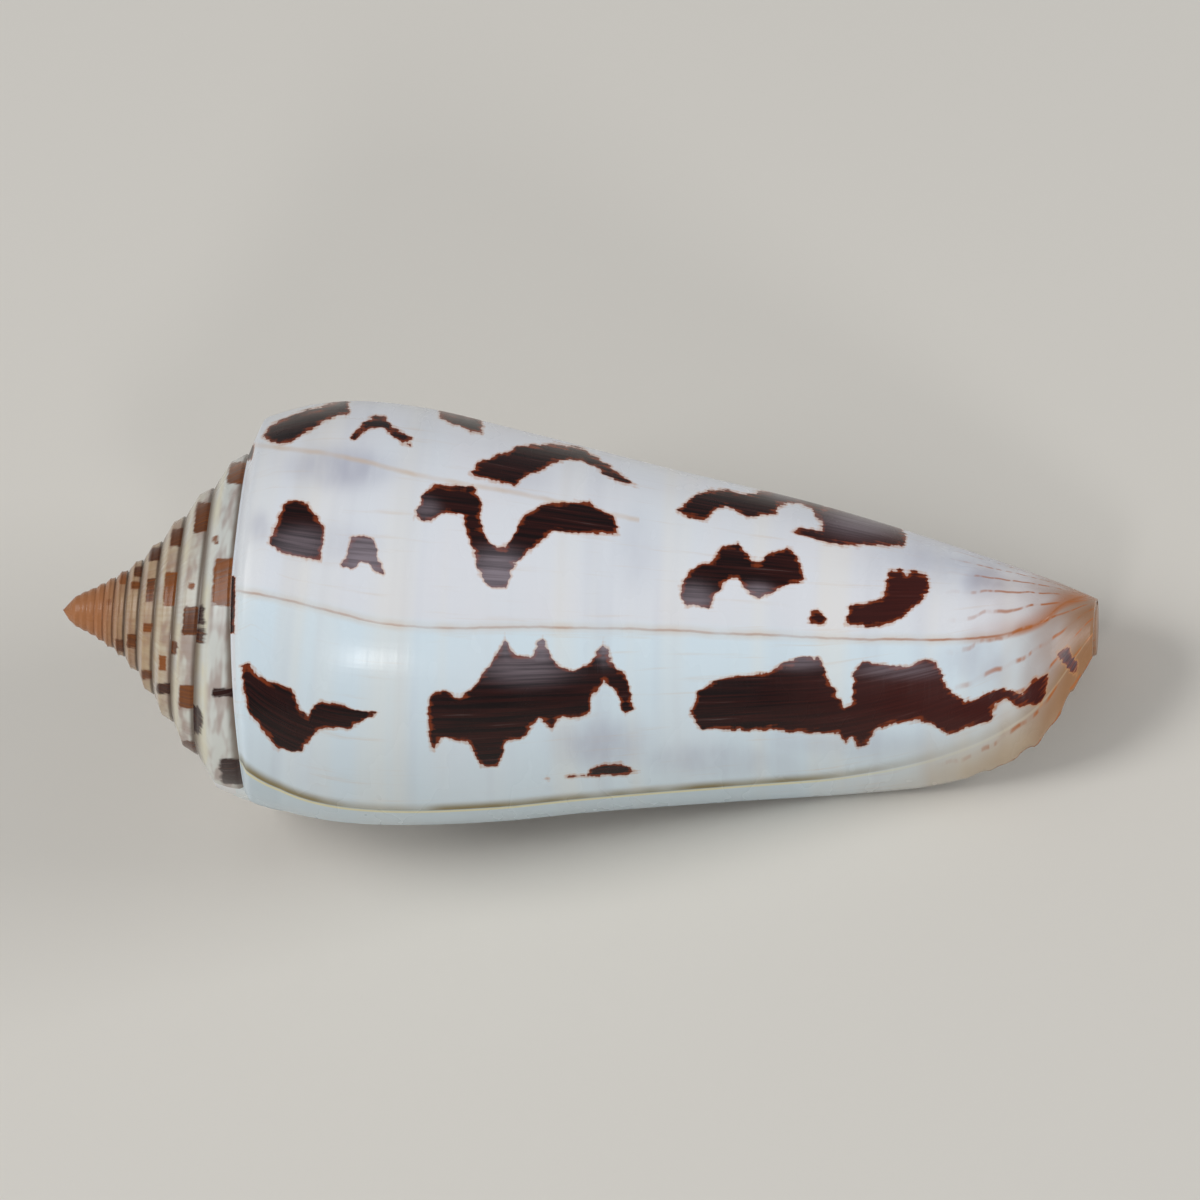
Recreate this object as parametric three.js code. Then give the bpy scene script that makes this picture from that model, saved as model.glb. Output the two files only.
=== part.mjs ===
// A tall-spired cone shell, one piece of aragonite as it grew: a stepped spire, a tapering
// body whorl, and a long slit of an aperture that runs back under the lip for over half a turn.
//
// The shell is worked out along its own coiling axis, apex at 0 and front end at shellLength,
// then laid down the way it rests on a table: on the lip's edge and the belly of the body whorl.
// A "turn" counts whorls from the apex, so that turn = turns is the lip.
import * as THREE from "three";

// Driving dimensions, in millimetres, degrees and whorls.
const shellLength = 75; // apex to front end
const turns = 12.6; // whorls from apex to lip
const columnsPerTurn = 40; // facets round one whorl
const nucleusTurn = 0.35; // where the first whorl starts

// Spire: each whorl steps out by a riser, turns at a shoulder and slopes to the next suture.
const sutureClimb = [0.53, 0.00027]; // suture height = first * turn + second * turn^4
const lipDrop = 1.4; // how far the suture drops towards the front just before the lip
const lipDropTurns = 0.3; // over how many turns
const riserHeight = 0.71; // share of the radius gained from one suture to the next
const riserRun = [0.45, 0.2]; // share of the whorl's height, on the spire and on the last whorl
const lastWhorlTurns = [1.1, 0.6]; // where the riser steepens, in turns before the lip
const crown = [0.4, 0.75]; // how far along and out the slope below the shoulder swells
const wallRows = 3; // rows on the slope below the shoulder
const sutureOutline = [
  [0, 0], [0.6, 0.75], [2.6, 1.85], [5.5, 3.8], [8, 6.8], [10, 9.1], [12.3, 11.7], [13.9, 13], [15, 13.4],
];

// Body whorl: [height along the axis, radius] a whole turn, half a turn and no turn behind the lip.
const parietalOutline = [
  [13.9, 13], [15, 13.4], [18, 13.7], [26, 12.7], [37, 10.8], [49, 8.6], [58, 6.7], [66, 4.7], [72, 3],
  [75, 1.9],
];
const farOutline = [
  [13.9, 14.5], [16.5, 15.2], [20, 15.5], [26, 15], [32, 13.8], [43, 11.2], [55, 8.5], [66, 5.3],
  [72, 3.3], [75, 2.1],
];
const lipOutline = [
  [13.9, 12.9], [17, 14.2], [20, 14.9], [24, 15.2], [32, 14.8], [38, 14.1], [49, 13.1], [58, 12.4],
  [64, 11.9], [69, 11], [72, 9.8], [75, 5.9],
];
const bodyRows = 22;
const rowCrowding = 0.4; // how much closer the rows lie at both ends of the body whorl
const innerGrowth = 0.25; // share of radius gained per turn under the lip

// Aperture.
const cavityColumns = 22; // how far the hollow runs back under the lip, in columns
const roofRows = 2; // body rows between the suture and the top of the hollow
const lipThickness = 0.4;
const wallThickness = 1.2;
const thickeningTurns = 0.12; // how soon the wall reaches its full thickness behind the lip
const roofEase = 5; // mm of height over which the hollow opens to its full width
const leastHollow = 0.3;

// The growing edge leans back at the suture and sweeps back round the front end.
const sutureRetreat = 18; // degrees
const sutureRetreatFade = 4;
const frontRetreatStart = 55; // height
const frontRetreat = [[40, 1.6], [28, 8]]; // [degrees at the front end, power]
const coilShear = 0.1; // the whorls of the spire lean towards the lip's side
const shearFade = [15, 34]; // heights over which that lean dies away

// How it lies, in degrees.
const restRoll = 37.4; // about the coiling axis
const restPitch = 11; // lifts the apex

const radians = THREE.MathUtils.degToRad;

// Smooth curve y(x) through points sorted by x.
function through(points) {
  const rise = (i) => (points[i + 1][1] - points[i][1]) / (points[i + 1][0] - points[i][0]);
  const slopes = points.map((_, i) => {
    if (i === 0) return rise(0);
    if (i === points.length - 1) return rise(i - 1);
    return (rise(i - 1) + rise(i)) / 2;
  });
  return (x) => {
    let i = 0;
    while (i < points.length - 2 && x > points[i + 1][0]) i++;
    return hermite(points[i], points[i + 1], slopes[i], slopes[i + 1], x);
  };
}

function hermite([x0, y0], [x1, y1], slope0, slope1, x) {
  const span = x1 - x0;
  const t = THREE.MathUtils.clamp((x - x0) / span, 0, 1);
  const t2 = t * t;
  const t3 = t2 * t;
  return (
    y0 * (2 * t3 - 3 * t2 + 1) + y1 * (3 * t2 - 2 * t3)
    + span * (slope0 * (t3 - 2 * t2 + t) + slope1 * (t3 - t2))
  );
}

const sutureRadius = through(sutureOutline);
const outlines = [parietalOutline, farOutline, lipOutline].map(through);

function sutureHeight(turn) {
  const drop = lipDrop * THREE.MathUtils.smoothstep(turn, turns - lipDropTurns, turns);
  return sutureClimb[0] * turn + sutureClimb[1] * turn ** 4 + drop;
}

// Radius of the body whorl: age 1 is the lip, 0 a whole turn behind it, below 0 under the lip.
function bodyRadius(height, age) {
  const [parietal, far, lip] = outlines.map((outline) => outline(height));
  const startSlope = innerGrowth * parietal;
  if (age <= 0) return parietal + startSlope * age;
  const before = (far - parietal) * 2;
  const after = (lip - far) * 2;
  const middle = before * after > 0 ? (2 * before * after) / (before + after) : 0;
  return age < 0.5
    ? hermite([0, parietal], [0.5, far], startSlope, middle, age)
    : hermite([0.5, far], [1, lip], middle, after, age);
}

// Where a whorl meets the one before it: [height, radius].
function suture(turn) {
  const height = sutureHeight(turn);
  return [height, sutureRadius(height)];
}

// Where the spire's slope hands over to the next suture or, on the last turn, to the body whorl.
function slopeEnd(turn) {
  if (turn + 1 <= turns) return suture(turn + 1);
  const height = sutureHeight(turn + 1);
  return [height, bodyRadius(height, turn - turns + 1)];
}

// Row 0 is the suture, row 1 the shoulder, and the rest run down the convex slope.
function spirePoint(turn, row) {
  const [height, radius] = suture(turn);
  if (row === 0) return [height, radius];
  const [endHeight, endRadius] = slopeEnd(turn);
  const steep = THREE.MathUtils.smoothstep(turn, turns - lastWhorlTurns[0], turns - lastWhorlTurns[1]);
  const run = THREE.MathUtils.lerp(riserRun[0], riserRun[1], steep);
  const shoulder = [
    height + run * (endHeight - height),
    radius + riserHeight * (endRadius - radius),
  ];
  const swell = [
    THREE.MathUtils.lerp(shoulder[0], endHeight, crown[0]),
    THREE.MathUtils.lerp(shoulder[1], endRadius, crown[1]),
  ];
  const t = (row - 1) / wallRows;
  const blend = (p, q, r) => p * (1 - t) ** 2 + 2 * q * t * (1 - t) + r * t * t;
  return [
    blend(shoulder[0], swell[0], endHeight),
    blend(shoulder[1], swell[1], endRadius),
  ];
}

function bodyHeight(turn, row) {
  const top = sutureHeight(turn + 1);
  const share = row / bodyRows;
  const crowded = share - rowCrowding * Math.sin(2 * Math.PI * share) / (2 * Math.PI);
  return top + (shellLength - top) * crowded;
}

// Wall thickness, thin at the lip's edge.
function wallAt(turnsBehindLip) {
  const share = Math.min(1, turnsBehindLip / thickeningTurns);
  return lipThickness + (wallThickness - lipThickness) * share;
}

// Radius of the inside of the body whorl, over the older whorl that lies a turn below it.
function innerRadius(turn, height, top) {
  const floor = bodyRadius(height, turn - turns);
  const ceiling = bodyRadius(height, turn - turns + 1) - wallAt(turns - turn);
  const opening = THREE.MathUtils.smoothstep(height, top, top + roofEase);
  return floor + Math.max(leastHollow, ceiling - floor) * opening;
}

// How far the growing edge is turned back at this height, in radians.
function retreat(height) {
  const atSuture = sutureRetreat * Math.exp(-Math.abs(height - sutureHeight(turns)) / sutureRetreatFade);
  const share = Math.max(0, (height - frontRetreatStart) / (shellLength - frontRetreatStart));
  const atFront = frontRetreat.reduce((sum, [angle, power]) => sum + angle * share ** power, 0);
  return radians(atSuture + atFront);
}

// A point of the shell, with the lip towards -Y and the back towards +Z.
function place(turn, [height, radius]) {
  const column = (turn - turns) * 2 * Math.PI;
  const angle = column - retreat(height) * (1 + Math.cos(column)) / 2;
  const y = -radius * Math.cos(angle);
  const z = -radius * Math.sin(angle);
  const shear = coilShear * (1 - THREE.MathUtils.smoothstep(height, ...shearFade));
  return new THREE.Vector3(height + shear * y, y, z);
}

// Collects shared vertices and the faces between them.
class Skin {
  positions = [];
  faces = [];
  add(point) {
    this.positions.push(point.x, point.y, point.z);
    return this.positions.length / 3 - 1;
  }
  triangle(a, b, c) {
    if (a !== b && b !== c && c !== a) this.faces.push(a, b, c);
  }
  // A strip between two rows of vertices of the same length.
  strip(first, second) {
    for (let i = 0; i + 1 < first.length; i++) {
      this.triangle(first[i], second[i], second[i + 1]);
      this.triangle(first[i], second[i + 1], first[i + 1]);
    }
  }
  // A strip between two rows that start at one vertex and needn't match after it.
  zip(first, second, along) {
    let i = 0;
    let j = 0;
    while (i + 1 < first.length || j + 1 < second.length) {
      const step = j + 1 >= second.length
        || (i + 1 < first.length && along(first[i + 1]) <= along(second[j + 1]));
      if (step) this.triangle(first[i], second[j], first[++i]);
      else this.triangle(first[i], second[j], second[++j]);
    }
  }
  geometry() {
    const made = new THREE.BufferGeometry();
    made.setAttribute("position", new THREE.Float32BufferAttribute(this.positions, 3));
    made.setIndex(this.faces);
    made.computeVertexNormals();
    return made;
  }
}

function shellGeometry() {
  const skin = new Skin();
  const lastColumn = Math.round(turns * columnsPerTurn);
  const firstColumn = Math.round(nucleusTurn * columnsPerTurn);
  const lipColumn = lastColumn - columnsPerTurn; // under the lip, a whole turn behind it
  const hollowColumn = lipColumn - cavityColumns;
  const range = (from, to) => Array.from({ length: to - from + 1 }, (_, i) => from + i);

  // Vertices, column by column along the coil.
  const spire = new Map();
  for (const column of range(firstColumn, lastColumn)) {
    const turn = column / columnsPerTurn;
    spire.set(column, range(0, wallRows).map((row) => skin.add(place(turn, spirePoint(turn, row)))));
  }
  const body = new Map();
  for (const column of range(hollowColumn, lastColumn)) {
    const turn = column / columnsPerTurn;
    body.set(column, range(0, bodyRows).map((row) => {
      const height = bodyHeight(turn, row);
      if (row === 0 && column <= lipColumn) return spire.get(column + columnsPerTurn)[0];
      return skin.add(place(turn, [height, bodyRadius(height, turn - turns + 1)]));
    }));
  }
  const inside = new Map();
  for (const column of range(hollowColumn, lipColumn)) {
    const turn = column / columnsPerTurn;
    const floor = body.get(column);
    const top = bodyHeight(turn, roofRows);
    inside.set(column, range(roofRows, bodyRows).map((row) => {
      if (row === roofRows) return floor[row];
      const height = bodyHeight(turn, row);
      return skin.add(place(turn + 1, [height, innerRadius(turn + 1, height, top)]));
    }));
  }

  // Spire and outside of the body whorl.
  const outside = (column) => {
    const next = column < lipColumn ? spire.get(column + columnsPerTurn).slice(0, 1) : body.get(column);
    return [...spire.get(column), ...next];
  };
  for (const column of range(firstColumn, lastColumn - 1)) {
    const length = column < lipColumn ? wallRows + 2 : undefined;
    skin.strip(outside(column).slice(0, length), outside(column + 1).slice(0, length));
  }

  // Hollow under the lip: the older whorl below, the inside of the body whorl above, and its end.
  for (const column of range(hollowColumn, lipColumn - 1)) {
    skin.strip(body.get(column).slice(roofRows), body.get(column + 1).slice(roofRows));
    skin.strip(inside.get(column + 1), inside.get(column));
  }
  skin.strip(inside.get(hollowColumn), body.get(hollowColumn).slice(roofRows));

  // Edge of the lip.
  const along = (vertex) => skin.positions[vertex * 3];
  const lipOuter = outside(lastColumn);
  const lipInner = [...body.get(lipColumn).slice(0, roofRows), ...inside.get(lipColumn)];
  skin.zip(lipOuter, lipInner, along);

  // Front end: the rim of the wall, and the pillar that the whorls turn round.
  const front = (column) => body.get(column)[bodyRows];
  const insideFront = (column) => inside.get(column)[bodyRows - roofRows];
  const rim = range(lastColumn - cavityColumns, lastColumn);
  skin.strip(rim.map((column) => insideFront(column - columnsPerTurn)), rim.map(front));
  const centre = skin.add(new THREE.Vector3(shellLength, 0, 0));
  const pillar = range(hollowColumn, lastColumn - cavityColumns).map(front);
  pillar.push(insideFront(hollowColumn), pillar[0]);
  skin.strip(pillar.map(() => centre), pillar);

  // Apex.
  const apex = skin.add(new THREE.Vector3(0, 0, 0));
  const start = range(firstColumn, firstColumn + columnsPerTurn).map((column) => spire.get(column)[0]);
  start.unshift(...outside(firstColumn).reverse().slice(0, -1));
  skin.strip(start, start.map(() => apex));

  return skin.geometry();
}

const ivory = new THREE.MeshStandardMaterial({ color: "#ece9e6", roughness: 0.3, metalness: 0 });
const shell = new THREE.Mesh(shellGeometry(), ivory);
shell.name = "shell";
shell.rotation.set(radians(restRoll), 0, 0);

const tilted = new THREE.Group();
tilted.rotation.set(0, radians(restPitch), 0);
tilted.add(shell);

const coneShell = new THREE.Group();
coneShell.add(tilted);
tilted.updateMatrixWorld(true);
const box = new THREE.Box3().setFromObject(tilted, true);
tilted.position.set(-(box.min.x + box.max.x) / 2, -(box.min.y + box.max.y) / 2, -box.min.z);

export default coneShell;
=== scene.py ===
import math

import bpy
import numpy as np
from mathutils import Matrix, Vector


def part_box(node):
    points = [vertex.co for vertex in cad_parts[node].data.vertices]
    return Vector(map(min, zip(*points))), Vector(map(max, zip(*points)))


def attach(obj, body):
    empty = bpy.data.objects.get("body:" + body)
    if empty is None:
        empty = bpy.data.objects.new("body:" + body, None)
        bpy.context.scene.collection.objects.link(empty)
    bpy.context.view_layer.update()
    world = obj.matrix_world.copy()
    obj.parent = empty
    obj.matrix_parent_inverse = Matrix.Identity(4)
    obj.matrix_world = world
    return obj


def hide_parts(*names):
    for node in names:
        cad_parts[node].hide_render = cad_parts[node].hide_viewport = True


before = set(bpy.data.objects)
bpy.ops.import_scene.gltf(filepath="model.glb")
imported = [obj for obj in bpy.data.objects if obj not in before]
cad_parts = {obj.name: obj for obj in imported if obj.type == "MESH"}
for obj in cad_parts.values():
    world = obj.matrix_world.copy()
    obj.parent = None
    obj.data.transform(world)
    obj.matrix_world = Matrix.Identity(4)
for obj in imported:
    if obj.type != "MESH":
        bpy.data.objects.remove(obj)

cadLow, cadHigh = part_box("shell")
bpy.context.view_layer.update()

mm = 0.001
farOff = 90.0  # mm, a distance at which no marking reaches

# The shell's growth, in mm along the coiling axis from the apex and mm out from it.
# A turn is one whorl. Ages on the last whorl run from 0, hidden under the lip, to 1 at the lip.
growth = {
    "length": 75.0,
    "turns": 12.6,
    "nucleusTurn": 0.35,  # turn at which the coiled tube starts
    "nucleusBlend": 0.5,  # turns over which its step forms
    "columnsPerTurn": 240,
    "sutureClimb": (0.53, 0.00027),  # mm a turn, and the faster climb of the late whorls
    "lipDrop": 1.4,
    "lipDropTurns": 0.3,
    "riserHeight": 0.71,  # share of a whorl's step outwards taken by its riser
    "riserRun": (0.45, 0.2),  # share of its climb, early and late whorls
    "lastWhorlTurns": (1.1, 0.6),
    "swell": (0.45, 0.6),  # where a whorl's slope bulges, along and out
    "riserRows": 4,
    "slopeRows": 8,
    "cordHeight": 0.1,
    "cordWidth": 1.2,  # mesh rows, squared
    "lateCordLoss": 0.8,
    "sutureDepth": 0.14,
    "ornamentHeights": (1.5, 4),  # where cord and suture groove grow in
    "sutures": [(0, 0), (0.6, 0.75), (2.6, 1.85), (5.5, 3.8), (8, 6.8), (10, 9.1), (12.3, 11.7),
                (13.9, 13), (15, 13.4)],
    "belly": [(13.9, 13), (15, 13.4), (18, 13.7), (26, 12.7), (37, 10.8), (49, 8.6), (58, 6.7),
              (66, 4.7), (72, 3), (75, 1.9)],
    "back": [(13.9, 14.5), (16.5, 15.2), (20, 15.5), (26, 15), (32, 13.8), (43, 11.2), (55, 8.5),
             (66, 5.3), (72, 3.3), (75, 2.1)],
    "lip": [(13.9, 12.9), (17, 14.2), (20, 14.9), (24, 15.2), (32, 14.8), (38, 14.1), (49, 13.1),
            (58, 12.4), (64, 11.9), (69, 11), (72, 9.8), (75, 5.9)],
    "bodyRows": 160,
    "rowCrowding": 0.4,
    "innerGrowth": 0.25,
    "sutureRetreat": 18.0,  # degrees by which the growing edge leans back at the suture
    "sutureRetreatFade": 4.0,
    "frontRetreatStart": 55.0,
    "frontRetreat": [(40, 1.6), (28, 8)],  # degrees and power of its sweep round the front end
    "coilShear": 0.1,
    "shearFade": (15.0, 34.0),
}

# The slit and the hollow behind it. The edge chips are (height, half width, depth), all mm.
aperture = {
    "hollowTurns": 0.55,
    "hollowColumns": 36,
    "roofShare": 2 / 22,
    "lipThickness": 0.35,
    "wallThickness": 1.2,
    "thickeningTurns": 0.12,
    "roofEase": 5.0,
    "leastHollow": 0.3,
    "bevelAngle": 4.0,  # degrees behind the edge
    "bevelDepth": 0.22,
    "bevelHeights": (17, 22),
    "edgeTurns": 0.03,  # how far back the chips reach
    "waver": [(0.05, 2.9, 0.0), (0.04, 7.3, 1.0)],  # mm, waves in a mm of height, start
    "chips": [(60.5, 0.25, 0.12), (66.9, 0.5, 0.45), (68.4, 0.3, 0.2), (70.3, 0.5, 0.5), (71.9, 0.4, 0.3),
              (73.3, 0.35, 0.5), (49.5, 0.3, 0.15)],
}

# How it lies: rolled on to its lip and belly, apex lifted.
rest = {"roll": 37.4, "pitch": 11.0}

# Side view of the back of the shell: the camera faces it and the markings are drawn on it. It is
# dipped towards the apex and turned, in degrees. Frame and aim are in mm, the lens in mm of its own.
sideView = {"dip": 3.7, "turned": 1.0, "lens": 1500, "frameWidth": 86.9, "aim": (38.87, 1.4)}

# Blotches, outlined in mm on that side view: along the shell from the apex, and across it.
blotches = {
    "shoulderSweep": [(14.3, 12.7), (14.7, 13.6), (16.4, 14.4), (18.6, 15.0), (20.4, 15.9), (20.5, 14.6),
                      (19.1, 14.2), (17.8, 13.4), (16.4, 12.4), (15.4, 12.3)],
    "chevron": [(20.7, 12.8), (21.1, 13.4), (22.2, 14.4), (23.1, 14.5), (23.5, 13.7), (25.1, 12.9),
                (25.0, 12.3), (24.0, 12.7), (22.9, 13.7), (22.2, 13.6), (20.9, 12.7)],
    "backStrip": [(27.0, 15.0), (27.1, 14.4), (27.9, 14.0), (29.2, 13.4), (30.1, 13.3), (30.1, 14.4)],
    "backWing": [(29.2, 10.3), (29.8, 11.2), (31.6, 11.9), (33.1, 12.5), (35.1, 12.6), (37.3, 12.4),
                 (39.1, 11.3), (41.5, 9.6), (40.0, 10.0), (38.9, 10.7), (37.5, 11.4), (35.6, 11.4),
                 (34.6, 10.8), (33.4, 10.3), (32.7, 9.6), (31.1, 9.8)],
    "arch": [(14.9, 5.0), (15.8, 7.9), (16.7, 8.3), (17.7, 7.9), (18.9, 6.3), (18.7, 3.8), (16.8, 4.2),
             (15.5, 4.6)],
    "fork": [(20.8, 5.7), (22.4, 5.6), (22.6, 4.7), (23.3, 3.0), (22.8, 3.0), (22.2, 3.7), (21.5, 3.9),
             (20.9, 3.3), (20.1, 3.5), (20.6, 4.4)],
    "bigV": [(25.4, 7.0), (25.9, 8.6), (26.7, 9.6), (28.1, 9.4), (29.6, 9.4), (30.1, 8.3), (30.1, 6.8),
             (30.8, 5.2), (31.9, 4.9), (32.6, 6.1), (33.4, 7.5), (35.2, 8.4), (37.8, 8.5), (39.8, 7.4),
             (40.2, 6.1), (37.8, 6.2), (35.4, 6.4), (34.3, 5.2), (32.6, 3.9), (32.2, 2.2), (30.8, 2.1),
             (30.1, 3.4), (29.4, 5.7), (28.8, 7.4), (27.2, 7.4), (26.5, 6.9)],
    "shoulderPatch": [(13.0, -3.8), (13.7, -3.7), (14.3, -4.6), (16.8, -5.4), (17.4, -7.0), (17.9, -7.4),
                      (18.8, -6.2), (20.3, -6.5), (21.5, -6.9), (23.0, -7.0), (21.9, -7.6), (20.9, -8.3),
                      (19.3, -8.1), (18.4, -8.7), (17.6, -9.8), (15.7, -9.9), (14.9, -8.6), (13.7, -7.3),
                      (13.2, -5.7)],
    "middlePatch": [(26.6, -6.9), (27.0, -5.5), (27.8, -5.2), (28.8, -6.0), (29.9, -5.0), (31.1, -3.2),
                    (31.8, -2.3), (32.0, -1.2), (32.7, -2.7), (34.0, -2.7), (34.6, -1.1), (35.6, -3.1),
                    (36.9, -3.8), (38.4, -3.1), (39.3, -1.1), (39.8, -3.3), (40.9, -4.1), (41.5, -6.4),
                    (40.7, -6.8), (40.1, -5.0), (39.2, -4.4), (38.4, -5.5), (38.3, -6.7), (37.4, -7.2),
                    (36.1, -7.0), (35.5, -8.1), (34.7, -7.1), (34.1, -7.8), (33.5, -8.8), (32.2, -8.9),
                    (31.7, -10.7), (30.6, -10.8), (29.5, -9.0), (27.5, -8.6), (27.0, -9.9), (26.7, -8.4)],
    "lipSliver": [(36.5, -11.4), (38.1, -11.1), (39.1, -10.5), (40.6, -10.4), (41.9, -11.0), (40.0, -11.3)],
    "lipDot": [(35.1, -11.6), (35.3, -11.45), (35.6, -11.6), (35.3, -11.75)],
    "frontSaddle": [(44.3, 7.9), (45.0, 8.6), (46.0, 9.3), (47.6, 9.6), (48.9, 9.2), (50.5, 9.4),
                    (52.5, 9.8), (54.8, 9.1), (55.1, 7.8), (54.6, 7.2), (54.1, 8.3), (52.9, 8.7),
                    (51.6, 8.4), (51.6, 7.8), (50.5, 7.8), (49.6, 7.5), (48.7, 7.9), (47.9, 8.3),
                    (47.1, 8.1), (46.5, 7.3), (45.2, 7.5)],
    "frontWing": [(52.5, 6.5), (53.2, 6.9), (54.8, 6.7), (55.0, 8.4), (57.1, 8.3), (60.5, 7.1),
                  (60.9, 6.2), (60.7, 5.6), (59.4, 5.7), (55.9, 5.7), (54.1, 6.1)],
    "crown": [(44.6, 2.4), (45.3, 3.7), (47.0, 4.4), (47.5, 5.4), (48.8, 5.6), (50.1, 4.2), (51.3, 5.2),
              (52.6, 5.5), (53.2, 4.5), (53.6, 3.0), (52.2, 2.7), (51.3, 2.1), (50.2, 1.7), (49.3, 2.5),
              (48.8, 3.1), (48.0, 3.0), (47.3, 2.2), (46.8, 1.0), (44.9, 1.1)],
    "spot": [(53.9, 0.0), (54.1, 0.9), (54.6, 0.9), (55.2, 0.3), (55.1, -0.1)],
    "hook": [(56.6, -0.1), (56.8, 1.3), (59.1, 1.8), (59.5, 2.6), (59.7, 3.9), (60.5, 4.0), (61.0, 3.5),
             (61.4, 4.0), (62.4, 3.6), (62.7, 2.7), (62.0, 1.6), (61.0, 0.8), (60.4, 0.2), (59.3, -0.1)],
    "longPatch": [(45.5, -6.5), (46.1, -5.1), (47.4, -4.2), (49.6, -3.8), (51.4, -3.5), (52.1, -2.9),
                  (53.6, -2.5), (54.6, -2.4), (55.2, -3.5), (56.1, -5.2), (56.7, -6.2), (57.2, -5.6),
                  (57.3, -3.6), (57.8, -2.6), (59.6, -3.0), (61.3, -2.9), (62.5, -2.5), (63.4, -2.9),
                  (64.0, -4.6), (65.3, -5.4), (66.3, -5.2), (66.9, -4.8), (68.2, -4.5), (69.3, -4.9),
                  (70.5, -3.6), (71.3, -3.4), (71.1, -4.5), (70.7, -5.6), (69.3, -5.8), (68.2, -5.2),
                  (67.6, -5.6), (67.2, -6.8), (65.6, -7.3), (64.1, -7.9), (63.2, -7.3), (62.5, -6.9),
                  (60.7, -7.1), (58.8, -7.6), (58.3, -8.7), (57.8, -8.9), (57.2, -8.1), (56.8, -8.7),
                  (56.2, -7.9), (54.3, -7.9), (51.0, -7.8), (48.4, -7.8), (46.3, -7.8)],
    "frontDot": [(71.9, -1.9), (72.7, -1.4), (73.4, -2.6), (73.3, -3.4), (72.6, -2.9)],
}

# Where those markings are worn thin: (along, across, reach along, reach across, strength).
fadedSpots = [
    (22.0, 4.4, 2.4, 2.0, 1.0), (31.5, 3.1, 2.2, 1.7, 1.0), (17.2, 5.0, 2.2, 1.2, 0.55),
    (32.1, -1.6, 0.9, 1.5, 1.0), (34.6, -1.9, 1.2, 1.5, 1.0), (39.3, -1.9, 0.7, 1.3, 0.9),
    (33.5, -3.6, 3.2, 1.2, 0.55), (45.6, 1.6, 1.5, 1.1, 0.7), (50.2, 2.1, 1.2, 0.7, 0.8),
    (58.0, 7.6, 3.2, 1.3, 0.75), (53.2, -2.7, 2.2, 0.7, 0.6), (60.5, -3.2, 3.4, 0.7, 0.5),
    (26.2, 7.7, 1.0, 0.8, 0.5), (72.9, -2.3, 1.0, 1.0, 0.35), (52.6, 9.3, 1.6, 0.6, 0.5),
]

# Lilac-grey clouds under the glaze, in the same terms.
clouds = [
    (20.0, 10.6, 3.6, 1.5, 1.0), (39.0, -8.9, 3.2, 1.8, 0.8), (66.4, 3.3, 1.8, 1.1, 1.0),
    (19.0, 5.2, 3.6, 1.4, 0.45), (14.2, 6.2, 0.7, 1.2, 0.7), (47.0, -10.0, 5.0, 1.2, 0.5),
    (60.0, 8.2, 6.0, 1.6, 0.4), (41.5, 5.0, 1.5, 3.0, 0.35), (66.0, -2.5, 2.5, 1.5, 0.5),
    (33.0, 10.0, 2.0, 1.2, 0.4), (64.0, 5.0, 6.0, 2.4, 0.6), (57.0, -8.6, 6.0, 1.0, 0.35),
]

# Growth scars: the paths of old lip edges.
mainScar = [(12.8, 1.6), (15.0, 1.3), (19.3, 0.3), (23.0, -0.5), (38.9, -0.6), (50.5, -0.9), (60.6, -1.1),
            (67.9, -0.6), (70.8, 0.4), (72.2, 1.6), (74.3, 2.4)]
upperScar = [(13.3, 12.2), (19.1, 11.6), (25.7, 10.2), (31.5, 9.2), (35.8, 8.4), (41.7, 7.2)]

# Spire markings: (whorl back from the lip, across the coil from, to, share of the whorl from, to, tone).
# Whorl shares run from the riser's foot, 0, past the shoulder, about 0.35, to the next suture, 1.
spireBlotches = [
    (0, 2.7, -1.5, -0.1, 0.14, 1.0), (0, 12.2, 11.0, -0.1, 0.2, 0.9),
    (1, 4.0, 0.5, 0.3, 1.1, 0.0), (1, 11.0, 9.3, 0.3, 1.1, 0.2), (1, -5.4, -6.1, 0.4, 1.1, 0.9),
    (1, -10.5, -12.4, 0.5, 1.1, 1.0), (1, 0.6, -0.9, -0.1, 0.17, 0.9), (1, -1.1, -2.3, -0.1, 0.22, 0.7),
    (1, 5.6, 4.9, 0.15, 0.38, 0.1), (1, -6.6, -8.9, -0.1, 0.18, 0.9),
    (2, 8.0, 5.7, 0.3, 1.1, 0.3), (2, 0.5, -1.7, 0.3, 1.1, 0.4), (2, 2.2, 1.6, 0.4, 0.75, 0.0),
    (2, -5.2, -7.0, 0.3, 1.1, 0.2), (2, -9.3, -10.3, 0.3, 1.1, 0.5), (2, -2.1, -3.1, -0.1, 0.24, 0.4),
    (3, 6.1, 4.7, 0.3, 1.1, 0.4), (3, 2.9, 0.4, 0.3, 1.1, 0.0), (3, -3.1, -4.3, 0.3, 0.8, -0.3),
    (3, -5.1, -6.0, 0.2, 1.1, 0.7), (4, 4.7, 3.6, 0.2, 1.1, 0.5), (4, 2.4, 0.6, 0.3, 0.9, 0.3),
    (4, -0.8, -1.6, 0.3, 1.0, 0.1), (4, -4.2, -5.0, 0.2, 1.1, 0.3), (5, 3.3, 2.4, 0.3, 1.1, 0.4),
    (5, 2.2, 1.6, 0.2, 1.0, 0.2), (5, -1.6, -2.7, 0.2, 1.0, 0.3), (6, 3.3, 1.9, 0.2, 0.9, -0.2),
    (6, -2.0, -3.0, 0.2, 1.1, 0.4), (7, 0.9, 0.4, 0.2, 0.8, 0.5),
]

whorlWidth = 1.8  # mm from suture to suture
riserContrast = 3  # so that the last whorl's riser is marked black to its edges

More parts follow.
